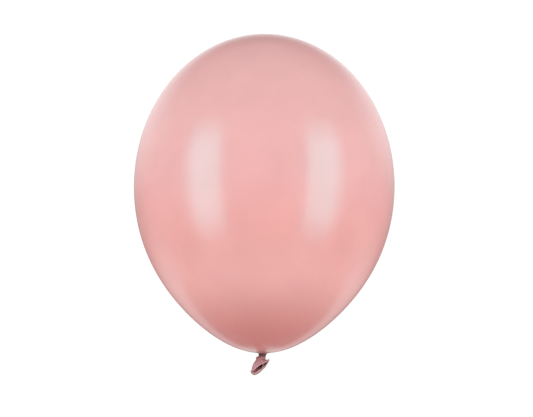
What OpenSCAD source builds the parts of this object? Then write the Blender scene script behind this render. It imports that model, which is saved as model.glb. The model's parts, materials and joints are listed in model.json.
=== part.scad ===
// Tied party balloon: an inflated latex envelope, the neck where its film
// gathers, the overhand knot that closes it, and the short flattened tail with
// its rolled lip. Millimetres. The origin is the middle of the throat, where a
// ribbon or a clip grips, and +Z runs up the balloon's axis to the crown.

/* [Envelope] */
// Widest diameter of the inflated envelope
envelope_d = 300; // [200:1:360]
// Height of the crown above the widest line
crown_h = 177; // [130:1:220]
// Depth of the bottom below the widest line
bottom_h = 192; // [140:1:240]
// How late the lower half draws in towards the neck
taper_power = 6; // [2:0.5:10]
// Thickness of the film
film_wall = 0.4; // [0.3:0.05:1]

/* [Neck] */
// Diameter of the gathered throat
throat_d = 8.6; // [6:0.1:11]
// Length of the throat
throat_l = 5; // [4:0.5:10]
// Width of the puckered collar where the film gathers
pucker_d = 15; // [13.5:0.5:24]
// Drop of the puckered collar from the film to the throat
pucker_h = 2.2; // [1:0.1:5]
// Height of the gathered film inside the envelope
pucker_dome_h = 1.6; // [0.8:0.1:3]

/* [Knot] */
// Diameter of the strand that is tucked through the knot
core_d = 6.4; // [5:0.1:8]
// Length of the tucked strand, from the middle of the loop to its rounded end
core_l = 4; // [3.5:0.1:6]
// Thickness of the strand that loops round
strand_d = 3.6; // [2.5:0.1:5]
// How far the loop bites into the tucked strand
loop_bite = 1.1; // [0.5:0.1:2]
// Drop from the end of the throat to the middle of the loop
loop_drop = 1.2; // [0.5:0.1:2]
// Slant of the loop, down to the right
loop_tilt = 10; // [0:1:16]

/* [Tail] */
// Width of the flattened mouth, over its lip
mouth_w = 26; // [18:0.5:34]
// Height of the mouth's opening, over its lip
mouth_gap = 10; // [8:0.5:14]
// Slant of the mouth's wide direction, up to the right
mouth_slant = 41; // [25:1:48]
// Turn of the mouth from facing down towards facing forward
mouth_turn = 52; // [30:1:60]
// Shift of the mouth to the left of the knot
mouth_left = 2.0; // [0:0.1:3]
// Shift of the mouth in front of the knot
mouth_front = 4.5; // [3.5:0.1:6]
// Drop of the middle of the mouth below the knot's rounded end
mouth_drop = 3.6; // [3:0.1:7]
// How far the long side of the sleeve bulges out
sleeve_bulge = 2.4; // [0:0.1:4]
// How far the back of the sleeve bulges out, round the knot's end
sleeve_belly = 1.4; // [1:0.1:3]
// Thickness of the sleeve
sleeve_wall = 0.6; // [0.5:0.05:1]
// Thickness of the rolled lip
lip_d = 1.8; // [1.4:0.1:2.5]

/* [Flexing places] */
// Gap where one piece flexes against the next
flex_gap = 0.4; // [0.3:0.05:0.6]

/* [Hidden] */

film_colour = "#f0b3ad";
gather_colour = "#9a5f5c";
strand_colour = "#b37e7e";
sleeve_colour = "#c78791";
lip_colour = "#b29394";

profile_steps = 64;     // bands from the crown to the bottom
sleeve_steps = 9;       // rings from the knot to the mouth
ring_sides = 40;        // points round the sleeve and along the lip
lip_sides = 10;         // sides of the lip's round section
normal_step = 0.02;     // share of the sleeve's length that gives its slope
round_fn = 96;

// Places up the axis. The envelope leans about the middle of its neck opening.
throat_top = throat_l / 2;
throat_end = -throat_l / 2;
lean_z = throat_top + flex_gap + pucker_h;
widest_z = lean_z + bottom_h;
loop_z = throat_end - loop_drop;
swing_z = loop_z - core_l;

throat_r = throat_d / 2;
pucker_r = pucker_d / 2;
core_r = core_d / 2;
loop_r = core_r + strand_d / 2 - loop_bite;

// The mouth: its middle, and unit vectors across its width and its height
mouth_mid = [-mouth_left, -mouth_front, swing_z - core_r - mouth_drop];
wide_dir = [cos(mouth_slant), 0, sin(mouth_slant)];
high_dir = [sin(mouth_slant) * cos(mouth_turn), sin(mouth_turn),
            -cos(mouth_slant) * cos(mouth_turn)];
mouth_a = (mouth_w - lip_d) / 2;
mouth_b = (mouth_gap - lip_d) / 2;

// The sleeve's root is a band round the knot's rounded end
root_drop = 1;
root_mid = [0, 0, swing_z - root_drop];
root_r = sqrt(pow(core_r + flex_gap, 2) - pow(root_drop, 2)) + sleeve_wall;

// Half outline of the balloon, from the crown down to the bottom: an ellipse
// above the widest line, and one that draws in late below it.
function outline_point(a, inset) =
    let (c = cos(a),
         below = max(-c, 0),
         reach = crown_h + (bottom_h - crown_h) * pow(below, taper_power) - inset)
    [(envelope_d / 2 - inset) * sin(a), reach * c];

function outline(inset) =
    [for (i = [0:profile_steps]) outline_point(180 * i / profile_steps, inset)];

module balloon_body(inset) {
    rotate_extrude($fn = round_fn)
        polygon(outline(inset));
}

// The film ends in a round edge that clears the collar however it leans.
module envelope() {
    color(film_colour)
        difference() {
            translate([0, 0, widest_z]) balloon_body(0);
            translate([0, 0, widest_z]) balloon_body(film_wall);
            translate([0, 0, lean_z]) sphere(r = pucker_r + flex_gap, $fn = round_fn);
        }
}

// Collar of gathered film: a cone up to the film, and a low dome inside it
module neck_pucker() {
    color(gather_colour) {
        translate([0, 0, lean_z - pucker_h])
            cylinder(h = pucker_h, r1 = throat_r, r2 = pucker_r, $fn = round_fn);
        translate([0, 0, lean_z])
            intersection() {
                sphere(r = pucker_r, $fn = round_fn);
                cylinder(h = pucker_dome_h, r = pucker_r, $fn = round_fn);
            }
    }
}

module throat_body() {
    translate([0, 0, throat_end])
        cylinder(h = throat_l, r = throat_r, $fn = round_fn);
}

module throat() {
    color(gather_colour) throat_body();
}

module tuck_body() {
    translate([0, 0, swing_z])
        cylinder(h = throat_end - swing_z, r = core_r, $fn = round_fn);
    translate([0, 0, swing_z])
        sphere(r = core_r, $fn = round_fn);
}

// The strand through the middle of the knot, down to its rounded end
module knot_tuck() {
    color(strand_colour) tuck_body();
}

// The turn that wraps the tucked strand and bears on the throat
module knot_loop() {
    color(strand_colour)
        difference() {
            translate([0, 0, loop_z])
                rotate([0, loop_tilt, 0])
                    rotate_extrude($fn = round_fn)
                        translate([loop_r, 0]) circle(d = strand_d, $fn = 48);
            tuck_body();
            throat_body();
        }
}

// A point of the sleeve's outer face: t runs from the knot (0) to the mouth
// (1), and a goes round.
function sleeve_point(t, a) =
    let (s = pow(sin(90 * t), 0.8),
         mid = root_mid + (mouth_mid - root_mid) * t,
         root = root_r * [cos(a), sin(a), 0],
         mouth = mouth_a * cos(a) * wide_dir + mouth_b * sin(a) * high_dir,
         bulge = [-sleeve_bulge * max(-cos(a), 0), sleeve_belly * max(sin(a), 0), 0])
    mid + (1 - s) * root + s * mouth + sin(180 * t) * bulge;

// The same place on the inner face, one wall's thickness in
function sleeve_inner_point(t, a) =
    let (down = sleeve_point(min(t + normal_step, 1), a)
              - sleeve_point(max(t - normal_step, 0), a),
         round = sleeve_point(t, a + 1) - sleeve_point(t, a - 1),
         inward = cross(round, down))
    sleeve_point(t, a) + sleeve_wall * inward / norm(inward);

function ring_angle(i) = 360 * i / ring_sides;

// The triangles of a skin over rows of points. Each row is a ring, and the
// last row joins the first.
function skin_faces(rows, sides) =
    [for (j = [0:rows - 1], i = [0:sides - 1], half = [0:1])
        let (a = j * sides + i,
             b = j * sides + (i + 1) % sides,
             c = ((j + 1) % rows) * sides + (i + 1) % sides,
             d = ((j + 1) % rows) * sides + i)
        half == 0 ? [a, b, c] : [a, c, d]];

// Down the outside from the knot to the mouth, then back up the inside
module tail_sleeve() {
    outside = [for (j = [0:sleeve_steps], i = [0:ring_sides - 1])
        sleeve_point(j / sleeve_steps, ring_angle(i))];
    inside = [for (j = [sleeve_steps:-1:0], i = [0:ring_sides - 1])
        sleeve_inner_point(j / sleeve_steps, ring_angle(i))];
    color(sleeve_colour)
        polyhedron(concat(outside, inside),
                   skin_faces(2 * (sleeve_steps + 1), ring_sides),
                   convexity = 6);
}

// The lip is a round bead rolled along the sleeve's edge
function lip_point(i, j) =
    let (a = ring_angle(i),
         edge = mouth_mid + mouth_a * cos(a) * wide_dir + mouth_b * sin(a) * high_dir,
         along = -mouth_a * sin(a) * wide_dir + mouth_b * cos(a) * high_dir,
         facing = cross(wide_dir, high_dir),
         out = cross(along / norm(along), facing),
         b = 360 * j / lip_sides)
    edge + lip_d / 2 * (cos(b) * out + sin(b) * facing);

module rolled_lip() {
    color(lip_colour)
        polyhedron([for (i = [0:ring_sides - 1], j = [0:lip_sides - 1]) lip_point(i, j)],
                   skin_faces(ring_sides, lip_sides),
                   convexity = 6);
}

envelope();
neck_pucker();
throat();
knot_loop();
knot_tuck();
tail_sleeve();
rolled_lip();
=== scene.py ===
"""A tied latex party balloon: stretched film, gathered neck, overhand knot and the short flared tail."""

import json
import math

import bpy
import numpy as np
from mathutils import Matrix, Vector


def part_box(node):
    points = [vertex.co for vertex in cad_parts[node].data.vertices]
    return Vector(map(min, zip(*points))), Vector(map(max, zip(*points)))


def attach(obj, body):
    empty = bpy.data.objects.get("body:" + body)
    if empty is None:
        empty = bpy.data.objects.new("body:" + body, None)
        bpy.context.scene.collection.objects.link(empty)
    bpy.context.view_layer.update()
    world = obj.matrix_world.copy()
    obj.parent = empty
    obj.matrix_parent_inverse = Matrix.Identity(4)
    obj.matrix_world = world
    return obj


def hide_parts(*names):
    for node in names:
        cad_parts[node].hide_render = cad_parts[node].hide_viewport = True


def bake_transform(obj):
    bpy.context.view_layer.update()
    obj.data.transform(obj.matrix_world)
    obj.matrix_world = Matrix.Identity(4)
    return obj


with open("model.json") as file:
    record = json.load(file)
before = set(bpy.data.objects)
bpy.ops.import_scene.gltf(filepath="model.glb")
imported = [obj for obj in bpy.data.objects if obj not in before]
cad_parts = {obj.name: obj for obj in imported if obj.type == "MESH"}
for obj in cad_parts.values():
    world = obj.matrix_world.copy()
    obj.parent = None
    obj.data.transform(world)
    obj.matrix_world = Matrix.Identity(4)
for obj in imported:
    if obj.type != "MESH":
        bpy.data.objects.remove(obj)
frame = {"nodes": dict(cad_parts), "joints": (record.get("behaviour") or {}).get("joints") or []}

bl_info = {
    "name": "Tied Latex Balloon",
    "version": (1, 0, 0),
    "blender": (4, 5, 0),
    "location": "View3D > Sidebar > Balloon",
    "description": "Builds a blown and knotted latex balloon round its CAD frame",
    "category": "Add Mesh",
}

MM = 0.001

# Places that the frame fixes
JOINT_AT = {j["name"]: Vector(j["pos_m"]) for j in frame["joints"]}
LEAN_AT = JOINT_AT["neck_lean"]
FILM_LOW, FILM_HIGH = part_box("envelope")
COLLAR_LOW, COLLAR_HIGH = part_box("neck_pucker")
THROAT_LOW, THROAT_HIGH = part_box("throat")
LOOP_LOW, LOOP_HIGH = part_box("knot_loop")
LIP_LOW, LIP_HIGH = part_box("rolled_lip")


def widest_height(node_name):
    """The height at which a CAD node stands furthest from the axis."""
    points = np.array([v.co for v in frame["nodes"][node_name].data.vertices])
    return float(points[np.argmax(np.hypot(points[:, 0], points[:, 1])), 2])


WIDEST_Z = widest_height("envelope")
COLLAR_SAG = 1.2 * MM  # the pleats draw the film this far down round the neck


def linear(hex_code):
    """An sRGB hex colour as linear red, green, blue and alpha."""
    shares = [int(hex_code[i : i + 2], 16) / 255 for i in (0, 2, 4)]
    return tuple(c / 12.92 if c <= 0.04045 else ((c + 0.055) / 1.055) ** 2.4 for c in shares) + (1.0,)


# ---- settings


def length(name, description, default, **limits):
    """A size in metres that shows in the scene's own unit."""
    return bpy.props.FloatProperty(
        name=name, description=description, default=default, unit="LENGTH", precision=5, **limits
    )


def number(name, description, default, **limits):
    """A plain number."""
    return bpy.props.FloatProperty(name=name, description=description, default=default, **limits)


def whole_number(name, description, default, least):
    """A count."""
    return bpy.props.IntProperty(name=name, description=description, default=default, min=least)


def tilt(name, description, degrees):
    """An angle, given in degrees, that shows in the scene's own unit."""
    return number(name, description, math.radians(degrees), subtype="ANGLE")


def colour(name, description, hex_code):
    """A colour that a user may change, given as the sRGB hex of its default."""
    return bpy.props.FloatVectorProperty(
        name=name, description=description, default=linear(hex_code), size=4, subtype="COLOR", min=0, max=1
    )


class BalloonEnvelopeSettings(bpy.types.PropertyGroup):
    """Sizes of the stretched film."""

    width: length("Width", "Widest diameter of the blown film", FILM_HIGH.y - FILM_LOW.y)
    crown: length("Crown Height", "Height of the crown above the widest line", FILM_HIGH.z - WIDEST_Z)
    bottom: length(
        "Bottom Depth", "Depth of the neck opening below the widest line", WIDEST_Z - LEAN_AT.z + COLLAR_SAG
    )
    taper: number("Taper Power", "How late the lower half draws in to the neck", 6.0, min=1)
    wall: length("Wall", "Thickness of the film", 0.3 * MM)
    pleat_depth: length("Pleat Depth", "Height of the pleats where the film meets the collar", 0.12 * MM)
    pleat_reach: length("Pleat Reach", "How far the pleats run out over the film", 5.0 * MM)
    sides: whole_number("Sides", "Faces round the film", 208, 24)
    rings: whole_number("Rings", "Rows from the crown to the neck", 130, 16)


class BalloonNeckSettings(bpy.types.PropertyGroup):
    """Sizes of the gathered collar and throat."""

    collar_width: length("Collar Width", "Width where the film ends", COLLAR_HIGH.x - COLLAR_LOW.x)
    throat_width: length("Throat Width", "Narrowest width of the neck", THROAT_HIGH.x - THROAT_LOW.x)
    pleats: whole_number("Pleats", "Pleats round the throat", 26, 6)
    pleat_depth: length("Pleat Depth", "Height of the pleats along the throat", 0.26 * MM)


class BalloonKnotSettings(bpy.types.PropertyGroup):
    """Sizes of the overhand knot."""

    width: length("Knot Width", "Width over the turn that wraps the knot", LOOP_HIGH.x - LOOP_LOW.x)
    strand: length("Strand Width", "Thickness of the strand that makes the turn", 4.3 * MM)
    crease_depth: length("Crease Depth", "Depth of the creases along the strand", 0.22 * MM)


class BalloonTailSettings(bpy.types.PropertyGroup):
    """Sizes of the flared tail and its lip."""

    wall: length("Wall", "Thickness of the unstretched film", 0.3 * MM)
    lip: length("Lip Thickness", "Thickness of the bead rolled along the mouth", 1.6 * MM)
    gather_depth: length("Gather Depth", "Depth of the gathers where the tail leaves the knot", 0.42 * MM)
    fold_depth: length("Fold Depth", "Height of the fold inside the mouth", 3.4 * MM)


class BalloonLatexSettings(bpy.types.PropertyGroup):
    """Colours of the latex, from the stretched film to the thick lip."""

    film: colour("Film", "The film where it is stretched most", "e8a9a7")
    film_low: colour("Lower Film", "The film of the lower half, which is stretched a little less", "e89e99")
    film_neck: colour("Film at the Neck", "The film where it is stretched least, by the neck", "ca6a64")
    # Painted reflection: the film by the collar is paler, where it mirrors the pale surround
    collar_reflection_colour: colour("Film at the Collar", "The film where the pleats fold it double", "d5918b")
    # Painted shade: the crown is darker because less light falls on the top
    crown_shade_colour: colour("Film at the Crown", "The slightly thicker film at the crown", "dfa3a1")
    gathered: colour("Gathered Film", "The collar and throat", "8f5a58")
    knot: colour("Knot", "The strands of the knot", "a87272")
    tail: colour("Tail", "The outside of the flared tail", "b67f87")
    # Painted shade: the colour that shaded places go to, deep in the mouth, under the knot, in the pleats
    # and under the collar
    painted_shade_colour: colour("Inside of the Tail", "The inside of the tail, deep in the mouth", "3a1f1c")
    lip: colour("Lip", "The rolled lip", "cf9d9f")


class BalloonStudioSettings(bpy.types.PropertyGroup):
    """The camera and the light."""

    distance: length("Camera Distance", "From the camera to the middle of the balloon", 1.8)
    elevation: tilt("Camera Elevation", "Height of the view above level", -12)
    roll: tilt("Camera Roll", "Turn of the picture about its middle", 0.55)
    lens: number("Lens", "Focal length in millimetres", 105.35)
    surround: number("Surround", "Brightness of the white surround on the balloon", 0.47)
    ceiling: number("Ceiling", "Brightness of the surround overhead, on the near side", 0.76)
    wall: number("Far Walls", "Brightness of the walls on the far side", 0.25)
    sweep: number("Sweep", "Brightness of the white sweep that curves up on the far side", 1.2)
    strip: number("Strip", "Brightness of the lit strip over the far walls", 1.1)
    softbox: number("Softbox", "Radiant power of each square metre of softbox", 8.5)
    floor_drop: length("Floor Drop", "Height of the throat above the floor", 0.9)


# ---- mesh tools


def node(tree, kind, inputs=None, **settings):
    """Adds a node with its settings, and sets or links its inputs."""
    made = tree.nodes.new(kind)
    for key, value in settings.items():
        setattr(made, key, value)
    for key, value in (inputs or {}).items():
        if isinstance(value, bpy.types.NodeSocket):
            tree.links.new(value, made.inputs[key])
        else:
            made.inputs[key].default_value = value
    return made


def link_object(name, mesh):
    """A new object at the origin that shows mesh."""
    made = bpy.data.objects.new(name, mesh)
    bpy.context.scene.collection.objects.link(made)
    return made


def applied(made):
    """Turns an object with modifiers into a plain mesh, and drops the modifiers."""
    evaluated = made.evaluated_get(bpy.context.evaluated_depsgraph_get())
    mesh = bpy.data.meshes.new_from_object(evaluated)
    mesh.name = made.name
    made.modifiers.clear()
    made.data = mesh
    return made


def ring_skin(name, rows, joined_ends=False, capped=False):
    """A mesh over rows of points, each row a closed ring.

    Faces point out where the rows run down and turn left.
    """
    rows = np.asarray(rows, float)
    count, sides = rows.shape[:2]
    faces = []
    for j in range(count if joined_ends else count - 1):
        k = (j + 1) % count
        for i in range(sides):
            n = (i + 1) % sides
            faces.append((j * sides + i, k * sides + i, k * sides + n, j * sides + n))
    if capped:
        faces.append(tuple(range(sides)))
        faces.append(tuple((count - 1) * sides + i for i in reversed(range(sides))))
    mesh = bpy.data.meshes.new(name)
    mesh.from_pydata(rows.reshape(-1, 3).tolist(), [], faces)
    mesh.shade_smooth()
    mesh.update()
    return link_object(name, mesh)


def with_wall(made, wall):
    """Gives a skin its thickness, inwards, and closes its edges."""
    solid = made.modifiers.new("Film wall", "SOLIDIFY")
    solid.thickness = wall
    solid.offset = -1
    solid.use_rim = True
    return applied(made)


def share_along(made, name, values):
    """Writes a number for each point of a skin, for its material to read."""
    attribute = made.data.attributes.new(name, "FLOAT", "POINT")
    attribute.data.foreach_set("value", np.asarray(values, np.float32).ravel())


def smooth_share(x):
    """0 to 1 with level ends."""
    x = np.clip(x, 0, 1)
    return x * x * (3 - 2 * x)


def hump(values, middle, reach):
    """1 at the middle, and dying away on both sides."""
    return np.exp(-(((values - middle) / reach) ** 2))


def pleat_wave(turn, pleats):
    """Uneven pleats round a neck, from -1 to 1."""
    return np.sin(pleats * turn + PLEAT_DRIFT * np.sin(3 * turn))


PLEAT_DRIFT = 1.7  # how unevenly the pleats are spaced, in radians of their wave
KNOT_LEFT = -1.9 * MM  # the knot is pulled tight a little to the left of the throat
THROAT_DROP = 4.5 * MM  # the throat leans that way over this height, and the knot over half as much


# ---- materials


def new_material(name):
    """An empty node material, its tree, and its output."""
    made = bpy.data.materials.new(name)
    made.use_nodes = True
    made.node_tree.nodes.clear()
    return made, made.node_tree, node(made.node_tree, "ShaderNodeOutputMaterial")


def stretched_film_material(colours):
    """Pearl latex film, dipped and blown: a satin skin, paler and thinner where it is stretched most.

    The pigment spreads as the film stretches, so the colour deepens towards the neck. The crown is darker
    as painted shade, where less light falls on the top, and the film by the collar is paler as a painted
    reflection of the pale surround. The surface is smooth, with a soft gloss and a faint unevenness from
    the dip.
    """
    made, tree, output = new_material("Pearl latex, stretched film")
    place = node(tree, "ShaderNodeTexCoord").outputs["Object"]
    height = node(tree, "ShaderNodeSeparateXYZ", {0: place}).outputs["Z"]
    # The colour of the most stretched film goes over to each of these in turn, between two heights
    toned = tuple(colours.film)
    for tone, start, stop, shape in (
        (colours.film_low, WIDEST_Z, WIDEST_Z / 2, "SMOOTHSTEP"),
        (colours.film_neck, LEAN_AT.z + NECK_TONE_HEIGHT, LEAN_AT.z, "SMOOTHSTEP"),
        # painted reflection just above the collar
        (colours.collar_reflection_colour, LEAN_AT.z + COLLAR_REFLECTION_HEIGHT, LEAN_AT.z, "SMOOTHSTEP"),
        # painted shade at the crown
        (colours.crown_shade_colour, FILM_HIGH.z - CROWN_SHADE_HEIGHT, FILM_HIGH.z, "SMOOTHERSTEP"),
    ):
        share = node(
            tree,
            "ShaderNodeMapRange",
            {"Value": height, "From Min": start, "From Max": stop},
            interpolation_type=shape,
        ).outputs[0]
        toned = node(
            tree, "ShaderNodeMix", {"Factor": share, 6: toned, 7: tuple(tone)}, data_type="RGBA"
        ).outputs[2]
    cloud = node(
        tree,
        "ShaderNodeTexNoise",
        {"Vector": place, "Scale": 1 / CLOUD_SIZE, "Detail": 3.0, "Roughness": 0.5},
    ).outputs[0]
    cloud_value = node(
        tree,
        "ShaderNodeMapRange",
        {"Value": cloud, "From Min": 0.3, "From Max": 0.7, "To Min": 0.97, "To Max": 1.03},
    ).outputs[0]
    clouded = node(tree, "ShaderNodeHueSaturation", {"Value": cloud_value, "Color": toned}).outputs[0]
    skin = node(
        tree,
        "ShaderNodeTexNoise",
        {"Vector": place, "Scale": 1 / SKIN_GRAIN, "Detail": 2.0, "Roughness": 0.6},
    ).outputs[0]
    roughness = node(
        tree,
        "ShaderNodeMapRange",
        {"Value": skin, "From Min": 0.2, "From Max": 0.8, "To Min": 0.2, "To Max": 0.26},
    ).outputs[0]
    bump = node(
        tree, "ShaderNodeBump", {"Strength": 0.12, "Distance": 0.02 * MM, "Height": skin}
    ).outputs[0]
    latex = node(
        tree,
        "ShaderNodeBsdfPrincipled",
        {
            "Base Color": clouded,
            "Roughness": roughness,
            "IOR": LATEX_IOR,
            "Specular IOR Level": PEARL_LEVEL,
            "Specular Tint": PEARL_TINT,
            "Normal": bump,
        },
    )
    tree.links.new(latex.outputs[0], output.inputs["Surface"])
    return made


PEARL_LEVEL = 0.85  # flakes of mica in the film make it reflect more than plain latex
PEARL_TINT = (0.1, 0.95, 1.0, 1.0)  # and their sheen is the cool complement of the pink
LATEX_IOR = 1.52
NECK_TONE_HEIGHT = 74 * MM  # how far up from the neck the deeper colour reaches
# how far up from the neck the painted reflection reaches
COLLAR_REFLECTION_HEIGHT = 5.5 * MM
# how far down from the crown the painted shade reaches
CROWN_SHADE_HEIGHT = 45 * MM
CLOUD_SIZE = 45 * MM  # soft patches a few centimetres across, left by the dip
SKIN_GRAIN = 0.8 * MM  # the skin's own grain is finer, and is drawn as coarse as it can show


def thick_latex_material(name, tone, satin, deep=None, film=None):
    """Unstretched latex: denser colour and a duller satin, with fine creases and a dusting of powder.

    Its roughness lies between the two values of satin.
    Where deep is given, it is a painted shade colour: the surface goes to it with the attribute Depth, the
    painted shade of each point, 1 far inside the mouth.
    Where film is given, the surface comes to that colour where it meets the stretched film.
    """
    made, tree, output = new_material(name)
    place = node(tree, "ShaderNodeTexCoord").outputs["Object"]
    powder = node(
        tree,
        "ShaderNodeTexNoise",
        {"Vector": place, "Scale": 1 / POWDER_SIZE, "Detail": 4.0, "Roughness": 0.6},
    ).outputs[0]
    tone_value = node(
        tree,
        "ShaderNodeMapRange",
        {"Value": powder, "From Min": 0.3, "From Max": 0.7, "To Min": 0.9, "To Max": 1.1},
    ).outputs[0]
    own = tuple(tone)
    if film is not None:
        height = node(tree, "ShaderNodeSeparateXYZ", {0: place}).outputs["Z"]
        stretch = node(
            tree,
            "ShaderNodeMapRange",
            {"Value": height, "From Min": THROAT_HIGH.z, "From Max": LEAN_AT.z},
        ).outputs[0]
        own = node(
            tree, "ShaderNodeMix", {"Factor": stretch, 6: own, 7: tuple(film)}, data_type="RGBA"
        ).outputs[2]
    base = node(tree, "ShaderNodeHueSaturation", {"Value": tone_value, "Color": own}).outputs[0]
    # painted shade, read from the attribute Depth
    if deep is not None:
        shade_amount = node(tree, "ShaderNodeAttribute", attribute_name="Depth").outputs["Fac"]
        base = node(
            tree, "ShaderNodeMix", {"Factor": shade_amount, 6: base, 7: tuple(deep)}, data_type="RGBA"
        ).outputs[2]
    roughness = node(
        tree,
        "ShaderNodeMapRange",
        {"Value": powder, "From Min": 0.3, "From Max": 0.7, "To Min": satin[0], "To Max": satin[1]},
    ).outputs[0]
    crease = node(
        tree,
        "ShaderNodeTexNoise",
        {"Vector": place, "Scale": 1 / CREASE_SIZE, "Detail": 3.0, "Distortion": 0.6},
    ).outputs[0]
    bump = node(
        tree, "ShaderNodeBump", {"Strength": 0.2, "Distance": 0.06 * MM, "Height": crease}
    ).outputs[0]
    latex = node(
        tree,
        "ShaderNodeBsdfPrincipled",
        {
            "Base Color": base,
            "Roughness": roughness,
            "IOR": LATEX_IOR,
            "Normal": bump,
            "Sheen Weight": 0.1,
            "Sheen Roughness": 0.4,
        },
    )
    tree.links.new(latex.outputs[0], output.inputs["Surface"])
    return made


POWDER_SIZE = 2.5 * MM  # patches of moulding powder
CREASE_SIZE = 0.7 * MM  # fine wrinkles of the slack rubber
TABLE_GLOW = 0.05


def floor_material():
    """A light table: a matt white sheet, lit from below, with the faint mottle of its lamps."""
    made, tree, output = new_material("Light table, matt white sheet")
    place = node(tree, "ShaderNodeTexCoord").outputs["Object"]
    mottle = node(tree, "ShaderNodeTexNoise", {"Vector": place, "Scale": 4.0, "Detail": 2.0}).outputs[0]
    value = node(tree, "ShaderNodeMapRange", {"Value": mottle, "To Min": 0.98, "To Max": 1.02}).outputs[0]
    tone = node(tree, "ShaderNodeHueSaturation", {"Value": value, "Color": linear("f4f3f1")}).outputs[0]
    sheet = node(
        tree,
        "ShaderNodeBsdfPrincipled",
        {
            "Base Color": tone,
            "Roughness": 0.9,
            "IOR": 1.45,
            "Emission Color": tone,
            "Emission Strength": TABLE_GLOW,
        },
    )
    tree.links.new(sheet.outputs[0], output.inputs["Surface"])
    return made


# ---- envelope


ROW_CROWDING = 0.6  # how much closer together the rows lie at the collar than at the crown
MERGE_GAP = 1e-7
FILM_LENGTHS = (
    "Width", "Crown Height", "Bottom Depth", "Widest Height", "Neck Width", "Pleat Depth", "Pleat Reach"
)

# The working of each point of the film: a name, an operation, and what it works on. A word there is an
# input or an earlier name. On a unit grid, x is the place along the outline and y the turn about the axis
FILM_STEPS = (
    ("along", "ADD", "x", 0.5),
    ("turns", "ADD", "y", 0.5),
    ("turn", "MULTIPLY", "turns", 2 * math.pi),
    # The outline's angle runs from the crown to the collar, with its rows closer together at the collar
    ("radius", "MULTIPLY", "Width", 0.5),
    ("neck radius", "MULTIPLY", "Neck Width", 0.5),
    ("neck share", "DIVIDE", "neck radius", "radius"),
    ("neck angle", "ARCSINE", "neck share"),
    ("last angle", "SUBTRACT", math.pi, "neck angle"),
    ("crowding", "MULTIPLY_ADD", "along", -ROW_CROWDING, 1 + ROW_CROWDING),
    ("crowded", "MULTIPLY", "along", "crowding"),
    ("angle", "MULTIPLY", "crowded", "last angle"),
    ("across", "SINE", "angle"),
    ("up", "COSINE", "angle"),
    # An ellipse above the widest line, and one that draws in late below it
    ("down", "MULTIPLY", "up", -1.0),
    ("below", "MAXIMUM", "down", 0.0),
    ("extra", "SUBTRACT", "Bottom Depth", "Crown Height"),
    ("late", "POWER", "below", "Taper Power"),
    ("reach", "MULTIPLY_ADD", "extra", "late", "Crown Height"),
    ("height", "MULTIPLY_ADD", "reach", "up", "Widest Height"),
    ("out", "MULTIPLY", "across", "radius"),
    # Pleats that die away from the collar
    ("from collar", "SUBTRACT", "neck radius", "out"),
    ("away", "DIVIDE", "from collar", "Pleat Reach"),
    ("near", "EXPONENT", "away"),
    ("lower part", "GREATER_THAN", "below", 0.5),
    ("fade", "MULTIPLY", "near", "lower part"),
    ("three turns", "MULTIPLY", "turn", 3.0),
    ("sway", "SINE", "three turns"),
    ("drift", "MULTIPLY", "sway", PLEAT_DRIFT),
    ("pleat turn", "MULTIPLY_ADD", "turn", "Pleats", "drift"),
    ("wave", "SINE", "pleat turn"),
    ("faded wave", "MULTIPLY", "wave", "fade"),
    ("pleat", "MULTIPLY", "faded wave", "Pleat Depth"),
    # The point itself
    ("turn cosine", "COSINE", "turn"),
    ("turn sine", "SINE", "turn"),
    ("X", "MULTIPLY", "out", "turn cosine"),
    ("Y", "MULTIPLY", "out", "turn sine"),
    ("Z", "ADD", "height", "pleat"),
)


def film_tree():
    """Geometry Nodes that spin half an outline into a film with pleats at the neck."""
    tree = bpy.data.node_groups.new("Spun latex film", "GeometryNodeTree")
    tree.interface.new_socket("Geometry", in_out="OUTPUT", socket_type="NodeSocketGeometry")
    for name in FILM_LENGTHS:
        tree.interface.new_socket(name, in_out="INPUT", socket_type="NodeSocketFloat").subtype = "DISTANCE"
    tree.interface.new_socket("Taper Power", in_out="INPUT", socket_type="NodeSocketFloat")
    for name in ("Pleats", "Rings", "Sides"):
        tree.interface.new_socket(name, in_out="INPUT", socket_type="NodeSocketInt")
    tree.interface.new_socket("Material", in_out="INPUT", socket_type="NodeSocketMaterial")
    given = node(tree, "NodeGroupInput").outputs

    grid = node(
        tree,
        "GeometryNodeMeshGrid",
        {"Size X": 1.0, "Size Y": 1.0, "Vertices X": given["Rings"], "Vertices Y": given["Sides"]},
    )
    spot = node(tree, "GeometryNodeInputPosition").outputs[0]
    flat = node(tree, "ShaderNodeSeparateXYZ", {0: spot}).outputs
    found = {name: given[name] for name in (*FILM_LENGTHS, "Taper Power", "Pleats")}
    found.update(x=flat["X"], y=flat["Y"])
    for name, operation, *values in FILM_STEPS:
        inputs = {place: found.get(value, value) for place, value in enumerate(values)}
        found[name] = node(tree, "ShaderNodeMath", inputs, operation=operation).outputs[0]

    spun = node(tree, "ShaderNodeCombineXYZ", {axis: found[axis] for axis in "XYZ"}).outputs[0]
    placed = node(
        tree, "GeometryNodeSetPosition", {"Geometry": grid.outputs["Mesh"], "Position": spun}
    ).outputs[0]
    closed = node(
        tree, "GeometryNodeMergeByDistance", {"Geometry": placed, "Distance": MERGE_GAP}
    ).outputs[0]
    smooth = node(tree, "GeometryNodeSetShadeSmooth", {"Geometry": closed}).outputs[0]
    real = node(tree, "GeometryNodeRealizeInstances", {"Geometry": smooth}).outputs[0]
    painted = node(
        tree, "GeometryNodeSetMaterial", {"Geometry": real, "Material": given["Material"]}
    ).outputs[0]
    node(tree, "NodeGroupOutput", {0: painted})
    return tree


def give_inputs(modifier, values):
    """Sets a Geometry Nodes modifier's inputs, given by their names."""
    for item in modifier.node_group.interface.items_tree:
        if item.item_type == "SOCKET" and item.in_out == "INPUT":
            modifier[item.identifier] = values[item.name]


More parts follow.
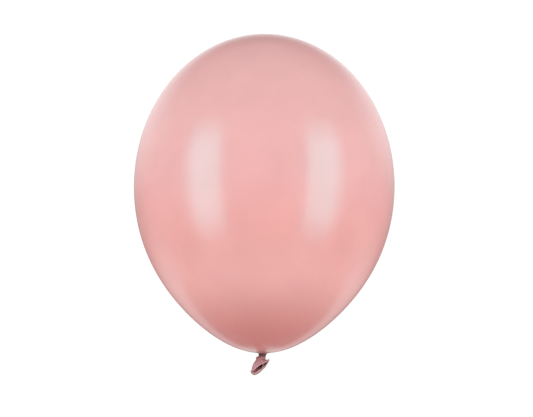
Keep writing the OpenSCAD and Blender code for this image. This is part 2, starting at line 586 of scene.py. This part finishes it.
class BALLOON_OT_envelope(bpy.types.Operator):
    """Spin the blown film"""

    bl_idname = "balloon.envelope"
    bl_label = "Envelope"

    def execute(self, context):
        sizes = context.scene.balloon_envelope
        neck = context.scene.balloon_neck
        made = link_object("latex_envelope", bpy.data.meshes.new("latex_envelope"))
        spin = made.modifiers.new("Spun film", "NODES")
        spin.node_group = film_tree()
        film = stretched_film_material(context.scene.balloon_latex)
        give_inputs(
            spin,
            {
                "Width": sizes.width,
                "Crown Height": sizes.crown,
                "Bottom Depth": sizes.bottom,
                "Widest Height": WIDEST_Z,
                "Neck Width": neck.collar_width,
                "Pleat Depth": sizes.pleat_depth,
                "Pleat Reach": sizes.pleat_reach,
                "Taper Power": sizes.taper,
                "Pleats": neck.pleats,
                "Rings": sizes.rings,
                "Sides": sizes.sides + 1,
                "Material": film,
            },
        )
        applied(made)
        with_wall(made, sizes.wall)
        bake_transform(made)
        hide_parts("envelope")
        return {"FINISHED"}


# ---- collar and throat


def film_height(sizes, out):
    """Height of the film's outline below the widest line, at a distance from the axis."""
    up = -math.sqrt(1 - (2 * out / sizes.width) ** 2)
    reach = sizes.crown + (sizes.bottom - sizes.crown) * (-up) ** sizes.taper
    return WIDEST_Z + reach * up


def bezier(points, shares):
    """Points of a cubic curve through its control points."""
    a, b, c, d = (np.asarray(p, float) for p in points)
    t = np.asarray(shares, float)[:, None]
    return a * (1 - t) ** 3 + 3 * b * t * (1 - t) ** 2 + 3 * c * t**2 * (1 - t) + d * t**3


COLLAR_ROWS = 22
THROAT_ROWS = 20
SHOULDER_OUT = 1.2 * MM  # where the collar turns down: out from the throat, down from the film's edge
SHOULDER_DROP = 0.4 * MM
SHOULDER_FALL = 1.2 * MM
JOIN_IN = 0.2 * MM  # where the collar meets the throat: in from its width, and down from its top
JOIN_DROP = 0.9 * MM
WAIST_IN = 0.3 * MM  # the throat's waist, where the knot pulls it tightest
WAIST_HIGH = 0.4 * MM
WAIST_LOW = -1.2 * MM
FOOT_IN = 0.5 * MM  # the throat's foot, inside the knot
FOOT_DROP = 0.3 * MM
PLEATS_GROW = 2.2  # the pleats are full-grown this many times before the foot
FINE_PLEATS = 0.35  # height of the finer pleats, as a share of the main ones
THROAT_SHARE = 0.6  # how much of the knot's shift to the left the throat takes up
SHADE_AT = 1.6 * MM  # the painted shade under the collar: its height, reach, darkness and darkest side
SHADE_REACH = 1.2 * MM
COLLAR_SHADE = 0.5
SHADE_SWAY = 0.25
SHADE_TURN = 3.6
VALLEY_SHADE = 0.45


class BALLOON_OT_throat(bpy.types.Operator):
    """Gather the film into the collar and the throat"""

    bl_idname = "balloon.throat"
    bl_label = "Collar and Throat"

    def execute(self, context):
        film = context.scene.balloon_envelope
        sizes = context.scene.balloon_neck
        colours = context.scene.balloon_latex
        collar_r = sizes.collar_width / 2
        throat_r = sizes.throat_width / 2
        edge_z = film_height(film, collar_r)
        turn = np.linspace(0, 2 * math.pi, film.sides, endpoint=False)
        # The collar draws in level from the film, then turns down into the throat
        join = (throat_r - JOIN_IN, THROAT_HIGH.z - JOIN_DROP)
        collar = bezier(
            [
                (collar_r, edge_z),
                (throat_r + SHOULDER_OUT, edge_z - SHOULDER_DROP),
                (throat_r, edge_z - SHOULDER_FALL),
                join,
            ],
            np.linspace(0, 1, COLLAR_ROWS),
        )
        throat = bezier(
            [
                join,
                (throat_r - WAIST_IN, WAIST_HIGH),
                (throat_r - JOIN_IN, WAIST_LOW),
                (throat_r - FOOT_IN, THROAT_LOW.z - FOOT_DROP),
            ],
            np.linspace(0, 1, THROAT_ROWS)[1:],
        )
        outline = np.vstack([collar, throat])
        along = np.linspace(0, 1, len(outline))
        wave = pleat_wave(turn, sizes.pleats)
        fine = FINE_PLEATS * np.sin(2 * sizes.pleats * turn + 1.0 + 2 * np.sin(5 * turn))
        rows = []
        for (out, height), share in zip(outline, along):
            grown = smooth_share(share * PLEATS_GROW)
            rise = film.pleat_depth * wave * (1 - grown)
            swell = sizes.pleat_depth * grown * (wave + fine * share)
            r = out + swell
            lean = KNOT_LEFT * THROAT_SHARE * smooth_share((THROAT_HIGH.z - height) / THROAT_DROP)
            rows.append(np.stack([r * np.cos(turn) + lean, r * np.sin(turn), height + rise], axis=1))
        made = ring_skin("gathered_throat", rows)
        made.data.materials.append(
            thick_latex_material(
                "Pearl latex, gathered film",
                colours.gathered,
                satin=(0.36, 0.5),
                deep=colours.painted_shade_colour,
                # the top of the collar comes to the film's painted reflection colour
                film=colours.collar_reflection_colour,
            )
        )
        with_wall(made, film.wall)
        # Painted shade: the pleats shade each other, most of all under the collar
        valley = 0.5 - 0.5 * wave
        under = hump(outline[:, 1:], SHADE_AT, SHADE_REACH)
        shade = VALLEY_SHADE * valley + under * (COLLAR_SHADE + SHADE_SWAY * np.cos(turn - SHADE_TURN))
        shade_amount = smooth_share(along[:, None] * PLEATS_GROW) * shade
        share_along(made, "Depth", np.tile(shade_amount.ravel(), 2))
        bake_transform(made)
        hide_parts("neck_pucker", "throat")
        return {"FINISHED"}


# ---- knot


# The barrel in the middle of the knot: control points of its outline in millimetres, each out from the
# throat's width and up from its foot
CORE_LINE = ((-0.5, 1.9), (1.0, 0.6), (2.0, -1.6), (-1.6, -3.4))
CORE_ROWS = 20
CORE_SIDES = 120
CORE_PLEATS = 15
CORE_CREASE = 0.5  # the middle of the knot is pulled smoother than the strand
KNOT_TOP_SHARE = 0.3  # how much of its shift to the left the top of the knot has


def knot_lean(height):
    """How far left the middle of the knot lies at a height."""
    top = THROAT_LOW.z + CORE_LINE[0][1] * MM
    fallen = smooth_share((top - height) / (THROAT_DROP / 2))
    return KNOT_LEFT * (KNOT_TOP_SHARE + (1 - KNOT_TOP_SHARE) * fallen)


# The strand that wraps the knot. Its turn about the axis is in degrees, from the right round the back
WRAP_ROWS = 90
WRAP_START = 50
WRAP_ROUND = 255
DIVE_START = 165  # from here on it comes down the front
DIVE_ROUND = 125
WRAP_HIGH = 0.4 * MM  # its height at the back over the throat's foot, and how far it comes down
WRAP_DROP = 3.5 * MM
TUCKED = 0.4  # its ends lie at this share of its radius, and come out over these shares of its length
COMES_OUT = 0.22
GOES_IN = 0.18
STRAND_FLAT = 0.95
STRAND_PROUD = 0.1 * MM  # how far the strand stands out of the knot's own width
STRAND_SIDES = 40
STRAND_CREASES = 5
END_SHARE = 0.12  # share of the strand over which each end draws in, and how far
END_LEAST = 0.02


def crease_wave(turn, share):
    """Creases that wander round the strand along its length, with finer ones between them."""
    wander = np.sin(STRAND_CREASES * turn + 0.8 * math.sin(4 * share))
    finer = np.sin((2 * STRAND_CREASES + 1) * turn + 3 * share)
    return wander + 0.5 * finer


def swept(name, path, width, height, crease):
    """A creased strand along a path, drawn in and closed at both ends."""
    path = np.asarray(path, float)
    forward = np.gradient(path, axis=0)
    forward /= np.linalg.norm(forward, axis=1)[:, None]
    # The strand stays turned to the axis, so its flat side lies on the knot
    outward = path * (1, 1, 0)
    outward -= forward * np.sum(outward * forward, axis=1)[:, None]
    outward /= np.linalg.norm(outward, axis=1)[:, None]
    side = np.cross(forward, outward)
    turn = np.linspace(0, 2 * math.pi, STRAND_SIDES, endpoint=False)
    share = np.linspace(0, 1, len(path))
    ends = np.sqrt(np.clip(np.minimum(share, 1 - share) / END_SHARE, END_LEAST, 1))
    rows = []
    for i in range(len(path)):
        bulge = 1 + 2 * crease / width * crease_wave(turn, share[i])
        across = ends[i] * width / 2 * bulge * np.cos(turn)
        up = ends[i] * height / 2 * bulge * np.sin(turn)
        rows.append(path[i] + across[:, None] * outward[i] + up[:, None] * side[i])
    # Each ring is turned round, so that the faces point out
    return ring_skin(name, [row[::-1] for row in rows], capped=True)


class BALLOON_OT_knot(bpy.types.Operator):
    """Tie the overhand knot"""

    bl_idname = "balloon.knot"
    bl_label = "Knot"

    def execute(self, context):
        sizes = context.scene.balloon_knot
        throat_r = context.scene.balloon_neck.throat_width / 2
        colours = context.scene.balloon_latex
        latex = thick_latex_material("Pearl latex, tied strand", colours.knot, satin=(0.34, 0.48))

        # The strand turns out of the throat at the back, wraps the left side and dives in at the front
        share = np.linspace(0, 1, WRAP_ROWS)
        degrees = WRAP_START + WRAP_ROUND * share
        turn = np.radians(degrees)
        wrap_r = (sizes.width - sizes.strand) / 2 + STRAND_PROUD
        ends = smooth_share(share / COMES_OUT) * smooth_share((1 - share) / GOES_IN)
        out = wrap_r * (TUCKED + (1 - TUCKED) * ends)
        height = THROAT_LOW.z + WRAP_HIGH - WRAP_DROP * smooth_share((degrees - DIVE_START) / DIVE_ROUND)
        path = np.stack([out * np.cos(turn) + KNOT_LEFT, out * np.sin(turn), height], axis=1)
        wrap = swept("knot_turn", path, sizes.strand, sizes.strand * STRAND_FLAT, sizes.crease_depth)
        wrap.data.materials.append(latex)
        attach(wrap, "neck")
        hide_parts("knot_loop")

        # The middle of the knot: a creased barrel from the throat to the tail
        turn = np.linspace(0, 2 * math.pi, CORE_SIDES, endpoint=False)
        outline = bezier(
            [(throat_r + out * MM, THROAT_LOW.z + up * MM) for out, up in CORE_LINE],
            np.linspace(0, 1, CORE_ROWS),
        )
        creased = CORE_CREASE * sizes.crease_depth * pleat_wave(turn, CORE_PLEATS)
        rows = []
        for out, height in outline:
            across = (out + creased) * np.cos(turn) + knot_lean(height)
            away = (out + creased) * np.sin(turn)
            rows.append(np.stack([across, away, np.full(CORE_SIDES, height)], axis=1))
        core = ring_skin("knot_core", rows, capped=True)
        core.data.materials.append(latex)
        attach(core, "neck")
        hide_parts("knot_tuck")
        return {"FINISHED"}


# ---- tail

# The lip's centre line, from the upper right corner back along the rear edge to the lower left end, and
# forward along the front edge. Each point is x, y, z in millimetres from the middle of the mouth, and the
# angle in degrees of the gather at the knot that runs to it.
LIP_LINE = (
    (8.9, 1.1, 10.3, 0),
    (8.5, 2.6, 8.7, 20),
    (6.5, 3.5, 5.5, 45),
    (4.2, 3.7, 2.2, 70),
    (1.2, 3.7, -0.9, 95),
    (-1.8, 3.5, -3.6, 118),
    (-4.8, 3.1, -5.6, 140),
    (-7.6, 2.5, -6.1, 158),
    (-9.8, 1.7, -4.6, 172),
    (-10.4, 0.5, -2.8, 186),
    (-7.8, -1.1, -0.9, 205),
    (-4.4, -2.3, 1.8, 232),
    (-0.4, -2.5, 4.5, 262),
    (3.2, -1.9, 6.6, 295),
    (6.3, -0.7, 8.3, 330),
)
MOUTH_MIDDLE = np.array((LIP_LOW + LIP_HIGH) / 2)
LIP_SAMPLES = 204
LIP_SIDES = 20
SLEEVE_ROWS = 30
TAIL_ROOT = np.array((-1.6, -0.3, -3.6)) * MM  # the ring of gathers inside the knot
TAIL_ROOT_R = 4.2 * MM
MOUTH_FACING = np.array((0.437, -0.698, -0.56))  # straight out of the mouth
LEAVE_OUT = 1.05  # how strongly the sleeve spreads and drops as it leaves the knot
LEAVE_DOWN = 0.45
ARRIVE_PULL = 0.8  # how strongly it turns to the mouth's facing, and how much it keeps its own line
ARRIVE_STRAIGHT = 0.8
GATHER_FADE = 1.3
GATHERS = 13
SLACK_SHARE = 0.6  # height of the slack's waves, as a share of the gathers
SLACK_WAVES = 5
FOLD_TURN = 38  # the inner fold: its angle at FOLD_MIDDLE of the way down, its slant and width
FOLD_MIDDLE = 0.45
FOLD_SLANT = 105
FOLD_WIDTH = 9
KNOT_SHADE = 0.62  # how dark the knot and the gathers make the outer wall
KNOT_SHADE_REACH = 0.13
GATHER_SHADE = 0.4
REAR_LIT = 0.3  # how far in the inner wall is lit, along the rear edge and more at the lower left end
END_LIT = 0.2
HOLLOW_FADE = 0.14
FOLD_LIT = 0.95
REAR_EDGE = 125  # angles of the rear and the front edge's middles, and how far each reaches
FRONT_EDGE = 265
EDGE_REACH = 45
BAND_WIDER = 1.2  # the rear edge is rolled this much wider, and this much further in
BAND_IN = 1.1
FRONT_THINNER = 0.25
OUTER_SHADE = 0.62  # painted shade: how dark the outer side of the rear edge and the whole front edge are
FRONT_SHADE = 0.14


def closed_curve(points, samples):
    """A smooth closed curve through points, whose last column is an angle that grows by 360 in a round."""
    points = np.asarray(points, float)
    count = len(points)
    position = np.arange(samples) * count / samples
    before = np.floor(position).astype(int)
    t = (position - before)[:, None]

    def at(index):
        found = points[index % count].copy()
        found[:, 3] += 360 * (index // count)
        return found

    a, b, c, d = (at(before + step) for step in (-1, 0, 1, 2))
    return 0.5 * (2 * b + (c - a) * t + (2 * a - 5 * b + 4 * c - d) * t**2 + (3 * b - a - 3 * c + d) * t**3)


def unit(vectors):
    """Vectors of length 1."""
    return vectors / np.linalg.norm(vectors, axis=-1, keepdims=True)


def sleeve_rows(sizes, rim):
    """Rows of points from the knot down to the rim."""
    turn = np.radians(rim[:, 3])
    edge = MOUTH_MIDDLE + rim[:, :3] * MM
    outward = np.stack([np.cos(turn), np.sin(turn), np.zeros_like(turn)], axis=1)
    root = outward * TAIL_ROOT_R + TAIL_ROOT
    span = edge - root
    chord = np.linalg.norm(span, axis=1, keepdims=True)
    leave = chord * (LEAVE_OUT * outward - (0, 0, LEAVE_DOWN))
    arrive = chord * ARRIVE_PULL * unit(MOUTH_FACING + ARRIVE_STRAIGHT * unit(span))
    # A cubic curve from the knot to each point of the rim, with a direction at both ends
    t = np.linspace(0, 1, SLEEVE_ROWS)[:, None, None]
    made = (
        (2 * t**3 - 3 * t**2 + 1) * root
        + (t**3 - 2 * t**2 + t) * leave
        + (3 * t**2 - 2 * t**3) * edge
        + (t**3 - t**2) * arrive
    )
    # Gathers that run out of the knot and die away towards the mouth
    down = np.gradient(made, axis=0)
    around = np.roll(made, -1, axis=1) - np.roll(made, 1, axis=1)
    normal = unit(np.cross(down, around))
    share = np.linspace(0, 1, SLEEVE_ROWS)[:, None]
    gathers = gather_wave(turn)[None] * (1 - share) ** GATHER_FADE
    slack = SLACK_SHARE * np.sin(SLACK_WAVES * turn + 1.0)[None] * (4 * share * (1 - share)) ** 1.5
    moved = sizes.gather_depth * (gathers + slack) - sizes.fold_depth * inner_fold(turn, share)
    return made + normal * moved[..., None]


def inner_fold(turn, share):
    """How far each point takes part in the fold that stands up inside the mouth, on its rear wall."""
    middle = FOLD_TURN + FOLD_SLANT * (share - FOLD_MIDDLE)
    return hump(np.degrees(turn)[None], middle, FOLD_WIDTH) * np.sin(math.pi * share) ** 0.7


def gather_wave(turn):
    """Uneven gathers round the top of the tail, from -1 to 1."""
    return np.sin(GATHERS * turn + 2 * np.sin(3 * turn))


def knot_shade(turn, share):
    """How much the knot and the gathers shade each point of the outer wall, from 0 to 1."""
    valley = 0.5 - 0.5 * gather_wave(turn)
    return KNOT_SHADE * np.exp(-share / KNOT_SHADE_REACH) + GATHER_SHADE * valley * (1 - share) ** 1.5


def turned_past(degrees, start, reach):
    """0 before the start, and 1 once the turn is past it by the reach."""
    return smooth_share((degrees - start) / reach)


def hollow_shade(turn, share):
    """How much painted shade each point of the inner wall gets, from 0 to 1: 1 deep inside the mouth, less
    where the lip and the fold catch the light.
    """
    degrees = np.degrees(turn)[None]
    lit_edge = REAR_LIT * turned_past(degrees, start=65, reach=30)
    lit_edge = lit_edge + END_LIT * turned_past(degrees, start=120, reach=25)
    lit_edge = lit_edge * (1 - turned_past(degrees, start=190, reach=20))
    return smooth_share((1 - share - lit_edge) / HOLLOW_FADE) * (1 - FOLD_LIT * inner_fold(turn, share))


class BALLOON_OT_tail(bpy.types.Operator):
    """Flare the tail and roll its lip"""

    bl_idname = "balloon.tail"
    bl_label = "Tail"

    def execute(self, context):
        sizes = context.scene.balloon_tail
        colours = context.scene.balloon_latex
        rim = closed_curve(LIP_LINE, LIP_SAMPLES)

        rows = sleeve_rows(sizes, rim)
        sleeve = ring_skin("tail_flare", rows)
        outside = len(sleeve.data.vertices)
        sleeve.data.materials.append(
            thick_latex_material(
                "Pearl latex, tail", colours.tail, satin=(0.34, 0.46), deep=colours.painted_shade_colour
            )
        )
        with_wall(sleeve, sizes.wall)
        # Painted shade: deep inside the mouth the folded film shades itself, and the knot and the gathers
        # shade the outer wall
        turn = np.radians(rim[:, 3])
        share = np.linspace(0, 1, len(rows))[:, None]
        shade_amount = np.zeros(len(sleeve.data.vertices))
        shade_amount[:outside] = knot_shade(turn, share).ravel()
        shade_amount[outside:] = hollow_shade(turn, share).ravel()
        share_along(sleeve, "Depth", shade_amount)
        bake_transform(sleeve)
        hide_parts("tail_sleeve")

        # The lip: the mouth's edge rolled into a bead
        line = MOUTH_MIDDLE + rim[:, :3] * MM
        forward = unit(np.roll(line, -1, axis=0) - np.roll(line, 1, axis=0))
        side = unit(np.cross(forward, MOUTH_FACING))
        up = np.cross(side, forward)
        turn = np.linspace(0, 2 * math.pi, LIP_SIDES, endpoint=False)
        place = np.arange(LIP_SAMPLES) * 2 * math.pi / LIP_SAMPLES
        # Along the rear edge it is rolled into a wider, flatter band that turns in over the mouth, and
        # along the front edge it is thinner
        band = hump(rim[:, 3], REAR_EDGE, EDGE_REACH)
        front = hump(rim[:, 3], FRONT_EDGE, EDGE_REACH)
        inward = side * np.sign(np.sum(side * (line.mean(axis=0) - line), axis=1, keepdims=True))
        up = up * np.sum(side * inward, axis=1, keepdims=True)
        # Rolled a little unevenly
        uneven = 1 + 0.05 * np.sin(7 * place) + 0.03 * np.sin(19 * place + 1)
        thick = sizes.lip / 2 * uneven * (1 - FRONT_THINNER * front)
        wide = thick * (1 + BAND_WIDER * band)
        centre = line + inward * (BAND_IN * thick * band)[:, None]
        over = np.cos(turn)[:, None]
        along = np.sin(turn)[:, None]
        rows = [
            centre[i] + wide[i] * over * inward[i] + thick[i] * along * up[i]
            for i in range(LIP_SAMPLES)
        ]
        lip = ring_skin("rolled_edge", rows, joined_ends=True)
        lip.data.materials.append(
            thick_latex_material(
                "Pearl latex, rolled lip", colours.lip, satin=(0.32, 0.44), deep=colours.painted_shade_colour
            )
        )
        # Painted shade: the outer side is darker along the rear edge, down to the lower left end, and the
        # front edge a little darker
        degrees = rim[:, 3:]
        outer = turned_past(degrees, start=20, reach=30) * (1 - turned_past(degrees, start=185, reach=25))
        away = smooth_share(0.9 - 1.1 * np.cos(turn)[None])  # 1 on the side away from the mouth
        edge_shade = OUTER_SHADE * outer * away
        share_along(lip, "Depth", np.maximum(edge_shade, FRONT_SHADE * (1 - band[:, None])))
        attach(lip, "tail")
        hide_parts("rolled_lip")
        return {"FINISHED"}


# ---- stage


class BALLOON_OT_stage(bpy.types.Operator):
    """Set the floor, the white surround, the softboxes and the camera"""

    bl_idname = "balloon.stage"
    bl_label = "Stage"

    def execute(self, context):
        scene = context.scene
        studio = scene.balloon_studio
        scene.view_settings.view_transform = "Standard"

        # A round table top
        turn = np.linspace(0, 2 * math.pi, FLOOR_SIDES, endpoint=False)
        edge = FLOOR_R * np.stack([np.cos(turn), np.sin(turn), np.zeros_like(turn)], axis=1)
        mesh = bpy.data.meshes.new("studio_floor")
        mesh.from_pydata(edge.tolist(), [], [tuple(range(FLOOR_SIDES))])
        floor = link_object("studio_floor", mesh)
        floor.location = (0, 0, -studio.floor_drop)
        mesh.materials.append(floor_material())

        # A white surround. What the camera sees of it is pure white; what lights the balloon is softer
        world = bpy.data.worlds.new("White surround")
        world.use_nodes = True
        tree = world.node_tree
        tree.nodes.clear()
        toward = node(tree, "ShaderNodeTexCoord").outputs["Generated"]
        axes = node(tree, "ShaderNodeSeparateXYZ", {0: toward}).outputs
        # On the far side the walls are dim. The white sweep shows under them, and a lit strip over them
        under = node(
            tree,
            "ShaderNodeMapRange",
            {
                "Value": axes["Z"],
                "From Min": SWEEP_LOW,
                "From Max": 0,
                "To Min": studio.sweep,
                "To Max": studio.wall,
            },
        ).outputs[0]
        over_strip = node(tree, "ShaderNodeMath", {0: axes["Z"], 1: STRIP_HEIGHT}, operation="SUBTRACT")
        from_strip = node(tree, "ShaderNodeMath", {0: over_strip.outputs[0]}, operation="ABSOLUTE")
        over = node(
            tree,
            "ShaderNodeMapRange",
            {
                "Value": from_strip.outputs[0],
                "From Min": STRIP_FULL,
                "From Max": STRIP_END,
                "To Min": studio.strip,
                "To Max": studio.wall,
            },
        ).outputs[0]
        far = node(tree, "ShaderNodeMath", {0: under, 1: over}, operation="MAXIMUM").outputs[0]
        near = node(
            tree,
            "ShaderNodeMapRange",
            {
                "Value": axes["Z"],
                "From Max": CEILING_HEIGHT,
                "To Min": studio.surround,
                "To Max": studio.ceiling,
            },
        ).outputs[0]
        lit = node(
            tree,
            "ShaderNodeMapRange",
            {"Value": axes["Y"], "From Max": FAR_SIDE, "To Min": near, "To Max": far},
        ).outputs[0]
        seen = node(tree, "ShaderNodeLightPath").outputs["Is Camera Ray"]
        strength = node(
            tree, "ShaderNodeMapRange", {"Value": seen, "To Min": lit, "To Max": SEEN_WHITE}
        ).outputs[0]
        white = node(tree, "ShaderNodeBackground", {"Color": (1, 1, 1, 1), "Strength": strength}).outputs[0]
        node(tree, "ShaderNodeOutputWorld", {"Surface": white})
        scene.world = world

        # Two tall softboxes in front. Each is three strips side by side, and each strip is a tall panel and
        # a shorter one before it, so that it dims towards its ends
        middle = Vector((0, 0, WIDEST_Z))
        for side in (-1, 1):
            for azimuth, width, share in SOFTBOX_STRIPS:
                for tall, distance in SOFTBOX_PANELS:
                    angle = math.radians(azimuth) * side
                    light = bpy.data.lights.new("softbox", "AREA")
                    light.shape = "RECTANGLE"
                    light.size = width
                    light.size_y = tall
                    light.energy = studio.softbox * share * width * tall / len(SOFTBOX_PANELS)
                    lamp = bpy.data.objects.new("softbox", light)
                    scene.collection.objects.link(lamp)
                    away = Vector((math.sin(angle), -math.cos(angle), 0))
                    lamp.location = middle + away * distance
                    lamp.rotation_euler = away.to_track_quat("Z", "Y").to_euler()
                    lamp.visible_camera = False

        camera = bpy.data.objects.new("camera", bpy.data.cameras.new("camera"))
        scene.collection.objects.link(camera)
        camera.data.lens = studio.lens
        camera.data.sensor_width = SENSOR_WIDTH
        camera.data.clip_start = 0.05
        camera.data.clip_end = 50.0
        back = Vector((0, -math.cos(studio.elevation), math.sin(studio.elevation)))
        level = Vector((1, 0, 0))
        up = back.cross(level)
        aim = middle + level * AIM_RIGHT - up * AIM_DOWN
        camera.location = aim + back * studio.distance
        camera.rotation_euler = back.to_track_quat("Z", "Y").to_euler()
        camera.rotation_euler.rotate_axis("Z", studio.roll)
        scene.camera = camera
        return {"FINISHED"}


FLOOR_R = 1.8
FLOOR_SIDES = 128
AIM_RIGHT = 2.85 * MM  # the point that the camera looks at, from the middle of the widest line
AIM_DOWN = 26.0 * MM
SENSOR_WIDTH = 36.0  # millimetres
SEEN_WHITE = 1.05
# Places on the surround, as sines of angles over level or to the far side
SWEEP_LOW = -0.35
STRIP_HEIGHT = 0.45
STRIP_FULL = 0.08  # how far from its middle the strip is still full, and where it ends
STRIP_END = 0.3
CEILING_HEIGHT = 0.8
FAR_SIDE = 0.6
SOFTBOX_STRIPS = ((42, 0.28, 1.1), (55, 0.3, 1.15), (65, 0.16, 0.5))  # azimuth in degrees, width, share
SOFTBOX_PANELS = ((1.75, 1.30), (1.15, 1.28))  # height and distance


# ---- add-on


class BALLOON_PT_panel(bpy.types.Panel):
    """Lists the pieces of the balloon"""

    bl_label = "Tied Latex Balloon"
    bl_idname = "BALLOON_PT_panel"
    bl_space_type = "VIEW_3D"
    bl_region_type = "UI"
    bl_category = "Balloon"

    def draw(self, context):
        for group in SETTINGS:
            column = self.layout.column(align=True)
            settings = getattr(context.scene, group)
            for name in settings.bl_rna.properties.keys():
                if name not in ("name", "rna_type"):
                    column.prop(settings, name)
        for operator in OPERATORS:
            self.layout.operator(operator.bl_idname)


SETTINGS = {
    "balloon_envelope": BalloonEnvelopeSettings,
    "balloon_neck": BalloonNeckSettings,
    "balloon_knot": BalloonKnotSettings,
    "balloon_tail": BalloonTailSettings,
    "balloon_latex": BalloonLatexSettings,
    "balloon_studio": BalloonStudioSettings,
}
OPERATORS = (BALLOON_OT_stage, BALLOON_OT_envelope, BALLOON_OT_throat, BALLOON_OT_knot, BALLOON_OT_tail)


def register():
    for name, group in SETTINGS.items():
        bpy.utils.register_class(group)
        setattr(bpy.types.Scene, name, bpy.props.PointerProperty(type=group))
    for made in (*OPERATORS, BALLOON_PT_panel):
        bpy.utils.register_class(made)


def unregister():
    for made in (BALLOON_PT_panel, *reversed(OPERATORS)):
        bpy.utils.unregister_class(made)
    for name, group in reversed(SETTINGS.items()):
        delattr(bpy.types.Scene, name)
        bpy.utils.unregister_class(group)


def main():
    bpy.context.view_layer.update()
    register()
    bpy.ops.balloon.stage()
    bpy.ops.balloon.envelope()
    bpy.ops.balloon.throat()
    bpy.ops.balloon.knot()
    bpy.ops.balloon.tail()


if __name__ == "__main__":
    main()
